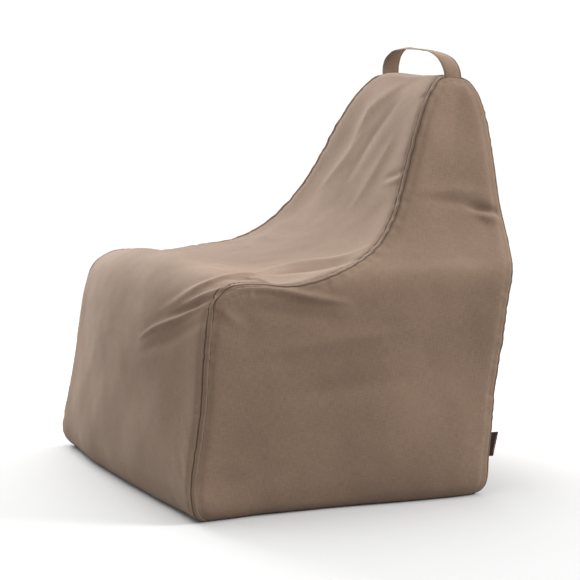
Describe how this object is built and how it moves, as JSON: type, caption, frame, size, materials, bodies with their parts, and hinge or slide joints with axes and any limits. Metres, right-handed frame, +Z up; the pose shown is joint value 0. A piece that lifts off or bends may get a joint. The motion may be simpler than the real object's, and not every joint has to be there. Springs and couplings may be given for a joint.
{
  "type": "bean bag chair",
  "caption": "High-backed bean bag lounge seat in a sewn taupe cloth cover with a top carrying strap, a rear zip and a zipped inner liner full of loose beads.",
  "frame": {"origin": "on the floor, at the centre of the bag's bounding box", "axes": "+Z up; the seat faces -Y, its back is at +Y; +X is the sitter's left when seated, the side with the label"},
  "size_m": [0.86, 0.788, 0.947],
  "materials": {
    "cover_cloth": "matt taupe plain-weave coated polyester",
    "liner_cloth": "off-white non-woven lining",
    "cover_zip_tape": "dark brown woven zip tape",
    "liner_zip_tape": "off-white woven zip tape",
    "cover_zip_coil": "dark brown polyester coil",
    "liner_zip_coil": "off-white polyester coil",
    "zip_metal": "dark enamelled zinc",
    "label_cloth": "dark woven label with a rust stripe",
    "beads": "white expanded polystyrene beads, as one volume"
  },
  "bodies": {
    "bag": {"centre_panel": "cover_cloth", "left_side_panel": "cover_cloth", "right_side_panel": "cover_cloth", "rear_panel_upper": "cover_cloth", "rear_panel_lower": "cover_cloth", "base_panel": "cover_cloth", "handle_patch_left": "cover_cloth", "handle_patch_right": "cover_cloth", "liner_centre_panel": "liner_cloth", "liner_left_side_panel": "liner_cloth", "liner_right_side_panel": "liner_cloth", "liner_rear_panel": "liner_cloth", "liner_base_panel": "liner_cloth", "cover_zip_upper_tape": "cover_zip_tape", "cover_zip_lower_tape": "cover_zip_tape", "liner_zip_upper_tape": "liner_zip_tape", "liner_zip_lower_tape": "liner_zip_tape", "cover_zip_upper_coil": "cover_zip_coil", "cover_zip_lower_coil": "cover_zip_coil", "liner_zip_upper_coil": "liner_zip_coil", "liner_zip_lower_coil": "liner_zip_coil", "cover_zip_stops": "zip_metal", "liner_zip_stops": "zip_metal", "bead_fill": "beads"},
    "handle": {"handle_strap": "cover_cloth"},
    "cover_slider": {"cover_zip_slider": "zip_metal"},
    "cover_pull": {"cover_zip_pull_ring": "zip_metal", "cover_zip_pull_tab": "cover_cloth"},
    "label": {"label_tab": "label_cloth"},
    "liner_slider": {"liner_zip_slider": "zip_metal"}
  },
  "joints": [
    {"name": "handle_swing", "type": "hinge", "parent": "bag", "child": "handle", "pos_m": [0, 0.331, 0.906], "axis": [1, 0, 0], "range_deg": [-75, 75]},
    {"name": "cover_zip_slide", "type": "slide", "parent": "bag", "child": "cover_slider", "axis": [-1, 0, 0], "range_m": [0, 0.579]},
    {"name": "cover_pull_swing", "type": "hinge", "parent": "cover_slider", "child": "cover_pull", "pos_m": [0.2895, 0.3064, 0.14605], "axis": [0, -0.2058, -0.9786], "range_deg": [0, 170]},
    {"name": "label_flap", "type": "hinge", "parent": "bag", "child": "label", "pos_m": [0.422, 0.28945, 0.07808], "axis": [0, 0.2058, 0.9786], "range_deg": [-75, 75]},
    {"name": "liner_zip_slide", "type": "slide", "parent": "bag", "child": "liner_slider", "axis": [-1, 0, 0], "range_m": [0, 0.379]}
  ]
}
